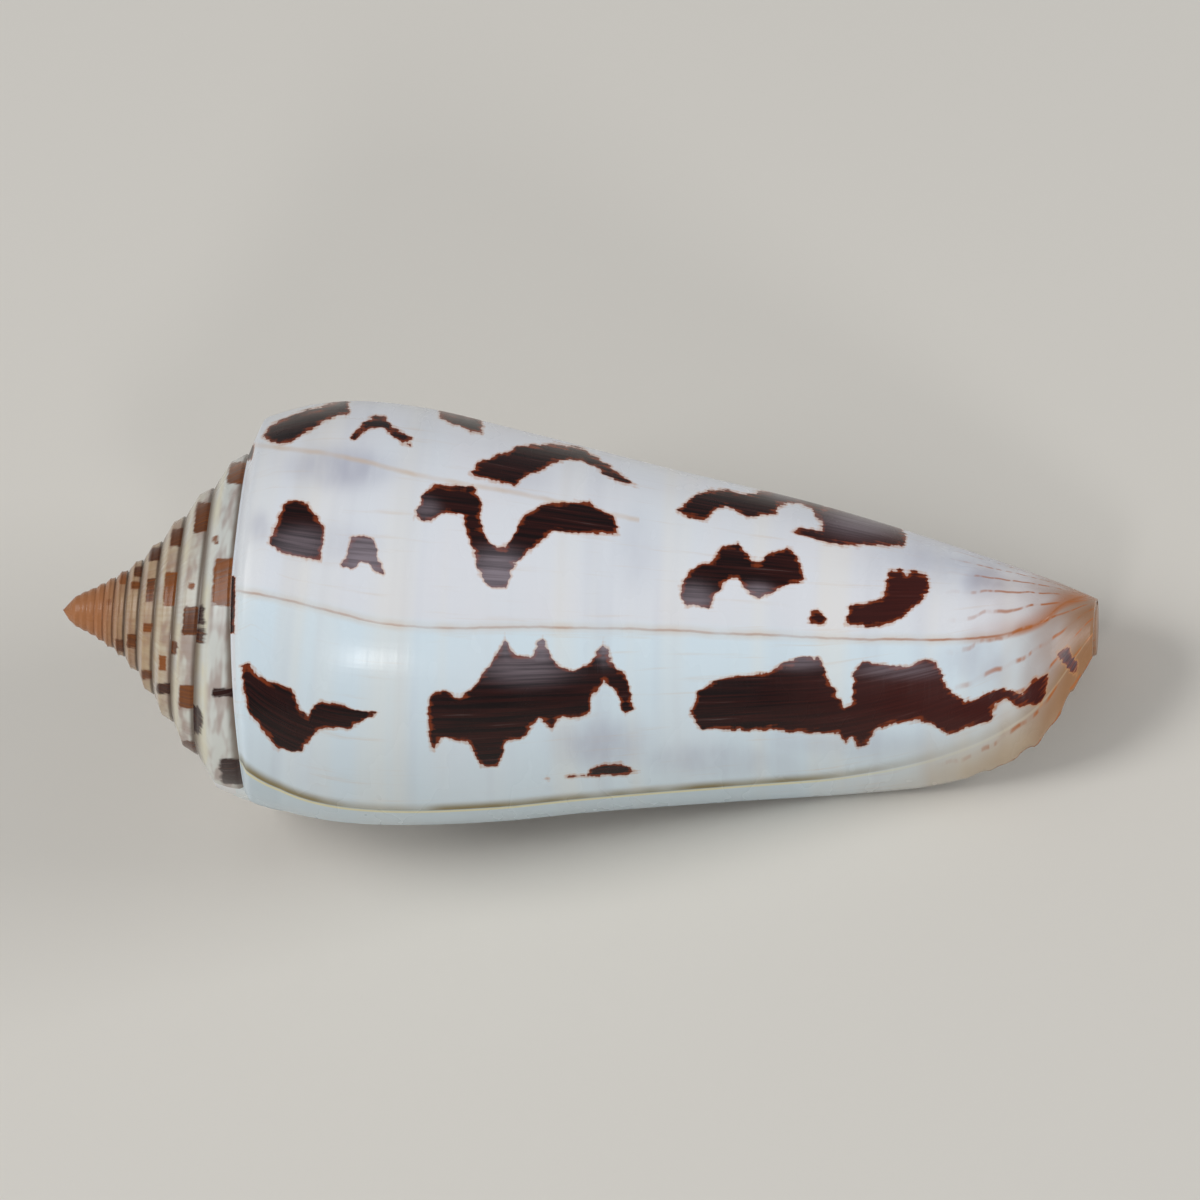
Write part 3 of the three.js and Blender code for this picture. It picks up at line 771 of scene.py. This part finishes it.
# Polished aragonite, laid down a growth line at a time: a porcelain gloss over a dense white wall.
def polishedAragonite():
    look = aragonite
    material = bpy.data.materials.new("polished_aragonite_shell")
    material.use_nodes = True
    tree = material.node_tree
    tree.nodes.clear()
    held = {name: addNode(tree, "ShaderNodeAttribute", {"attribute_name": name}, output="Fac")
            for name in ("height", "arc", "across", "lipAngle", "part", "ink", "washed", "cloud",
                         "mainScar", "upperScar", "spireInk", "spireTone")}
    height, lipAngle, scar = held["height"], held["lipAngle"], held["mainScar"]
    place, reach = look["places"], look["wander"]

    pattern = {}
    for seed, (name, (alongAxis, roundCoil, octaves)) in enumerate(look["patterns"].items()):
        spot = addNode(tree, "ShaderNodeCombineXYZ", {}, addNode(tree, *times, height, 1 / alongAxis),
                       addNode(tree, *times, held["arc"], 1 / roundCoil), 2.0 * seed + 1)
        pattern[name] = addNode(tree, "ShaderNodeTexNoise", {}, {
            "Vector": spot, "Scale": 1.0, "Detail": octaves, "Roughness": 0.6})

    # White ground: cool below the main scar, warmer above it, in bands, with lilac clouds.
    tone = addNode(tree, *times, addNode(tree, *minus, pattern["broadTone"], 0.5), 0.9)
    warmth = addNode(tree, *plus, addNode(tree, *ramp, scar, -0.3, 0.8, 0.0, 0.75), tone)
    ground = addNode(tree, *mix, warmth, look["coolWhite"], look["warmWhite"])
    bands = addNode(tree, *ramp, pattern["growthBands"], 0.45, 0.75, 0.0, 0.2)
    ground = addNode(tree, *mix, bands, ground, look["lilac"])
    bands = addNode(tree, *ramp, pattern["creamBands"], 0.45, 0.7, 0.0, 0.4)
    ground = addNode(tree, *mix, bands, ground, look["cream"])
    texture = addNode(tree, *ramp, pattern["cloudTexture"], 0.2, 0.7, 0.4, 0.8)
    ground = addNode(tree, *mix, addNode(tree, *times, held["cloud"], texture), ground, look["lilac"])
    streaks = addNode(tree, *ramp, pattern["growthStreaks"], 0.56, 0.78, 0.0, 0.28)
    ground = addNode(tree, *mix, streaks, ground, look["growthTan"])

    # Scars of old lip edges, with a tan shade beside the main one.
    wander = addNode(tree, *times, addNode(tree, *minus, pattern["scarWander"], 0.5), reach["scar"])
    line = addNode(tree, *absolute, addNode(tree, *plus, scar, wander))
    strength = addNode(tree, *ramp, pattern["scarStrength"], 0.35, 0.65, 0.4, 1.0)
    shade = addNode(tree, *times, addNode(tree, *ramp, line, *look["scarShade"], 0.5, 0.0), strength)
    ground = addNode(tree, *mix, shade, ground, look["growthTan"])
    lineMask = addNode(tree, *times, addNode(tree, *ramp, line, *look["scarLine"], 1.0, 0.0), strength)
    towardsTip = addNode(tree, *ramp, height, *place["scarDarkens"], 0.4, 1.0)
    ground = addNode(tree, *mix, addNode(tree, *times, lineMask, towardsTip), ground, look["scar"])
    upper = addNode(tree, *absolute, addNode(tree, *plus, held["upperScar"], wander))
    upperMask = addNode(tree, *ramp, upper, *look["upperScarShade"], 0.7, 0.0)
    upperMask = addNode(tree, *times, upperMask, strength)
    ground = addNode(tree, *mix, upperMask, ground, look["growthTan"])

    # Stained front end: a tan rim and tip, with old lip edges drawn over them in broken orange.
    stain = addNode(tree, *minus, pattern["stain"], 0.5)
    tip = addNode(tree, *plus, height, addNode(tree, *times, stain, reach["stain"]))
    rim = addNode(tree, *times, addNode(tree, *ramp, lipAngle, *place["rimAngles"], 1.0, 0.0),
                  addNode(tree, *ramp, tip, *place["rimHeights"], 0.0, 0.75))
    ground = addNode(tree, *mix, rim, ground, look["rimTan"])
    stained = addNode(tree, *ramp, tip, *place["tipStained"], 0.0, 0.95)
    ground = addNode(tree, *mix, stained, ground, look["tipStain"])
    bent = addNode(tree, *times, addNode(tree, *minus, pattern["edgeWander"], 0.5), reach["oldEdge"])
    oldEdge = addNode(tree, *folded, addNode(tree, *plus, lipAngle, bent), look["oldEdgeAngle"] / 2)
    oldEdge = addNode(tree, *ramp, oldEdge, 0.3, 2.0, 1.0, 0.0)
    oldEdge = addNode(tree, *times, oldEdge, addNode(tree, *ramp, pattern["dashes"], 0.4, 0.56, 0.1, 1.0))
    oldEdge = addNode(tree, *times, oldEdge, addNode(tree, *ramp, tip, *place["oldEdges"], 0.0, 0.9))
    ground = addNode(tree, *mix, oldEdge, ground, look["scar"])
    beside = addNode(tree, *times, addNode(tree, *ramp, scar, -0.2, 1.4, 0.7, 0.0),
                     addNode(tree, *ramp, scar, -0.5, -0.1))
    beside = addNode(tree, *times, beside, addNode(tree, *ramp, tip, *place["besideScar"]))
    ground = addNode(tree, *mix, beside, ground, look["scar"])

    # The youngest shell, along the lip, beyond an olive growth line, with a painted highlight along the lip
    # side of that line.
    lipBand = addNode(tree, *times, addNode(tree, *ramp, lipAngle, *place["lipBand"], 0.75, 0.0),
                      addNode(tree, *ramp, height, *place["lipBandFades"], 1.0, 0.0))
    ground = addNode(tree, *mix, lipBand, ground, look["lipWhite"])
    broken = addNode(tree, *ramp, pattern["brokenLine"], 0.3, 0.6, 0.4, 0.95)
    along = addNode(tree, *times, addNode(tree, *ramp, height, *place["lipLineStarts"]),
                    addNode(tree, *ramp, height, *place["lipLineFades"], 1.0, 0.15))
    olive = addNode(tree, *times, addNode(tree, *ramp, lipAngle, *place["oliveFar"], 1.0, 0.0),
                    addNode(tree, *ramp, lipAngle, *place["oliveNear"]))
    olive = addNode(tree, *times, olive, addNode(tree, *times, along, broken))
    ground = addNode(tree, *mix, olive, ground, look["lipOlive"])
    # Painted highlight: a thin pale yellow band on the lip side of the olive line stands for light caught
    # there.
    paintedHighlightBand = addNode(tree, *times, addNode(tree, *ramp, lipAngle, *place["paintedHighlightNear"]),
                       addNode(tree, *ramp, lipAngle, *place["paintedHighlightFar"], 1.0, 0.0))
    ground = addNode(tree, *mix, addNode(tree, *times, paintedHighlightBand, along), ground, look["lipPaintedHighlight"])

    # Ragged blotches: their edges break along the growth lines and the spiral threads.
    fingers = addNode(tree, *minus, pattern["fingers"], 0.5)
    steps = addNode(tree, *minus, pattern["steps"], 0.5)
    ragged = addNode(tree, *plus, addNode(tree, *times, fingers, reach["fingers"]),
                     addNode(tree, *times, steps, reach["steps"]))
    ink = addNode(tree, *plus, held["ink"], ragged)
    inkMask = addNode(tree, *ramp, ink, -0.02, 0.03)
    halo = addNode(tree, *ramp, ink, -0.2, -0.01, 0.0, 0.5)
    core = addNode(tree, *plus, ink, addNode(tree, *times, fingers, reach["fingers"]))
    core = addNode(tree, *ramp, core, 0.02, 0.26)
    fibres = pattern["fibres"]
    browner = addNode(tree, *ramp, fibres, 0.35, 0.68)
    dark = addNode(tree, *mix, browner, look["nearBlack"], look["chocolate"])
    dark = addNode(tree, *mix, addNode(tree, *ramp, fibres, 0.62, 0.8, 0.0, 0.55), dark, look["worn"])
    redder = addNode(tree, *ramp, height, *place["reddens"], 0.0, 0.55)
    dark = addNode(tree, *mix, redder, dark, look["chestnut"])
    pigment = addNode(tree, *mix, core, look["rust"], dark)
    thin = addNode(tree, *ramp, fibres, 0.3, 0.65, 0.5, 1.05)
    washed = addNode(tree, *times, held["washed"], thin)
    pigment = addNode(tree, *mix, washed, pigment, look["wornMauve"])
    body = addNode(tree, *mix, halo, ground, look["halo"])
    body = addNode(tree, *mix, inkMask, body, pigment)

    # Spire: white whorls turning cream, then tan at the apex, with painted shade darkening each whorl at
    # its sutures, and rust to near-black blotches.
    across = held["across"]
    whiter = addNode(tree, *ramp, height, *place["whitens"])
    slope = addNode(tree, *mix, whiter, look["spireCream"], look["spireWhite"])
    patches = addNode(tree, *ramp, pattern["mauvePatches"], 0.42, 0.62, 0.0, 0.75)
    slope = addNode(tree, *mix, patches, slope, look["spireMauve"])
    patches = addNode(tree, *ramp, pattern["riserPatches"], 0.4, 0.6, 0.1, 0.9)
    riser = addNode(tree, *mix, patches, look["spireWhite"], look["riserYellow"])
    spire = addNode(tree, *mix, addNode(tree, *ramp, across, *place["riserEnds"]), riser, slope)
    browning = addNode(tree, *plus, height, addNode(tree, *times, fingers, reach["browning"]))
    browning = addNode(tree, *ramp, browning, *place["browns"], 0.8, 0.0)
    spire = addNode(tree, *mix, browning, spire, look["apexTan"])
    # Painted shade: a greyish brown darkens the foot and the top of each whorl, where shade falls into the
    # sutures.
    paintedShadeMask = addNode(tree, *greatest, addNode(tree, *ramp, across, *place["paintedShadeFoot"], 0.85, 0.0),
                     addNode(tree, *ramp, across, *place["paintedShadeTop"], 0.0, 0.85))
    spire = addNode(tree, *mix, paintedShadeMask, spire, look["paintedSutureShade"])
    spireInk = addNode(tree, *plus, held["spireInk"], addNode(tree, *times, ragged, 0.6))
    striped = addNode(tree, *times, addNode(tree, *minus, fibres, 0.5), 1.5)
    shade = addNode(tree, *plus, held["spireTone"], striped)
    shade = addNode(tree, *ramp, shade, -0.3, 0.95)
    spirePigment = addNode(tree, *mix, shade, look["spireRust"], look["spireDark"])
    spireMask = addNode(tree, *times, addNode(tree, *ramp, spireInk, -0.04, 0.14),
                        addNode(tree, *ramp, fibres, 0.5, 0.72, 1.0, 0.88))
    spire = addNode(tree, *mix, spireMask, spire, spirePigment)
    apex = addNode(tree, *ramp, height, *place["apex"], 0.95, 0.0)
    spire = addNode(tree, *mix, apex, spire, look["apex"])

    colour = addNode(tree, *mix, addNode(tree, *isAbove, held["part"], 0.5), spire, body)
    stained = addNode(tree, *ramp, tip, *place["hollowStained"], 0.0, 0.9)
    inside = addNode(tree, *mix, stained, look["inside"], look["tipStain"])
    colour = addNode(tree, *mix, addNode(tree, *isAbove, held["part"], 1.5), colour, inside)

    # Relief in mm: growth lines, spiral threads, and the steps at the main scar and the lip.
    relief = look["relief"]
    lines = addNode(tree, *times, pattern["growthLines"], relief["growthLines"])
    threads = addNode(tree, *times, pattern["threads"], relief["threads"])
    scarStep = addNode(tree, *ramp, addNode(tree, *plus, scar, wander), -0.15, 0.1, 0.0, relief["scarStep"])
    lipStep = addNode(tree, *ramp, lipAngle, *place["lipBand"], 0.0, relief["lipStep"])
    fade = addNode(tree, *ramp, height, *place["lipStepFades"], 1.0, 0.0)
    lipStep = addNode(tree, *times, lipStep, fade)
    surface = addNode(tree, *plus, addNode(tree, *plus, lines, threads),
                      addNode(tree, *plus, scarStep, lipStep))
    bump = addNode(tree, "ShaderNodeBump", {}, {"Height": surface, "Strength": 1.0, "Distance": mm})

    roughness = addNode(tree, *ramp, pattern["handling"], 0.3, 0.7, *look["roughness"])
    shader = addNode(tree, "ShaderNodeBsdfPrincipled", {}, {
        "Base Color": colour, "Roughness": roughness, "IOR": look["ior"],
        "Specular IOR Level": look["specular"], "Normal": bump})
    addNode(tree, "ShaderNodeOutputMaterial", {}, {"Surface": shader})
    return material


shell.data.materials.append(polishedAragonite())
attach(shell, "root")
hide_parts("shell")
print("shell laid down and painted")


studio = {
    "floor": "#DDD9D1",
    "floorSize": 1.6,  # metres
    "paperGrain": 900.0,  # patches across the sheet, 1.8 mm each: coarser than real fibres, to show
    "paperRelief": 0.0003,  # metres
    "world": 0.28,
    "skyColour": (0.95, 0.97, 1.0, 1.0),
    # name: (right, up, towards the camera, size, watts), in metres from the shell as it is seen
    "lights": {
        "windowSoftbox": (-0.08, -0.25, 0.57, 0.09, 0.5),
        "leftSoftbox": (-0.55, 0.19, 0.34, 0.35, 2.05),
        "rightSoftbox": (0.55, 0.21, 0.34, 0.35, 2.1),
    },
}


# Matte paper, pressed and uncoated: no gloss, only a faint tooth under the soft light.
def mattePaperFloor():
    material = bpy.data.materials.new("matte_paper_sweep")
    material.use_nodes = True
    tree = material.node_tree
    tree.nodes.clear()
    grain = addNode(tree, "ShaderNodeTexNoise", {}, {"Scale": studio["paperGrain"], "Detail": 2.0})
    bump = addNode(tree, "ShaderNodeBump", {}, {
        "Height": grain, "Strength": 0.05, "Distance": studio["paperRelief"]})
    shader = addNode(tree, "ShaderNodeBsdfPrincipled", {}, {
        "Base Color": studio["floor"], "Roughness": 0.85, "Normal": bump})
    addNode(tree, "ShaderNodeOutputMaterial", {}, {"Surface": shader})
    return material


def makeFloor():
    half = studio["floorSize"] / 2
    sheet = bpy.data.meshes.new("paper_floor")
    corners = [(-half, -half, 0), (half, -half, 0), (half, half, 0), (-half, half, 0)]
    sheet.from_pydata(corners, [], [(0, 1, 2, 3)])
    floor = bpy.data.objects.new("paper_floor", sheet)
    floor.data.materials.append(mattePaperFloor())
    bpy.context.scene.collection.objects.link(floor)
    return floor


# The view's own right, up and towards-the-camera directions, and the point it is aimed at.
def viewAxes():
    dip, turned = math.radians(sideView["dip"]), math.radians(sideView["turned"])
    along = Vector((math.cos(dip), 0, -math.sin(dip)))
    across = Vector((0, 1, 0))
    right = along * math.cos(turned) + across * math.sin(turned)
    up = across * math.cos(turned) - along * math.sin(turned)
    towards = Vector((math.sin(dip), 0, math.cos(dip)))
    aim = along * sideView["aim"][0] + across * sideView["aim"][1]
    aimed = (restTurn @ aim + Vector(restShift)) * mm
    return restTurn @ right, restTurn @ up, restTurn @ towards, aimed


def makeCamera():
    right, up, towards, aim = viewAxes()
    data = bpy.data.cameras.new("camera")
    data.lens = sideView["lens"]
    data.sensor_width = 36
    distance = sideView["frameWidth"] * mm * sideView["lens"] / data.sensor_width
    camera = bpy.data.objects.new("camera", data)
    turn = Matrix((right, up, towards)).transposed()
    camera.matrix_world = Matrix.Translation(aim + towards * distance) @ turn.to_4x4()
    bpy.context.scene.collection.objects.link(camera)
    bpy.context.scene.camera = camera


def makeLights():
    right, up, towards, aim = viewAxes()
    for name, (x, y, z, size, watts) in studio["lights"].items():
        data = bpy.data.lights.new(name, "AREA")
        data.shape = "SQUARE"
        data.size = size
        data.energy = watts
        light = bpy.data.objects.new(name, data)
        spot = aim + right * x + up * y + towards * z
        light.location = spot
        light.rotation_euler = (aim - spot).to_track_quat("-Z", "Y").to_euler()
        bpy.context.scene.collection.objects.link(light)
    world = bpy.data.worlds.new("studio")
    world.use_nodes = True
    sky = world.node_tree.nodes["Background"]
    sky.inputs["Color"].default_value = studio["skyColour"]
    sky.inputs["Strength"].default_value = studio["world"]
    bpy.context.scene.world = world


makeFloor()
makeCamera()
makeLights()
bpy.context.scene.view_settings.view_transform = "Standard"
print("studio ready")
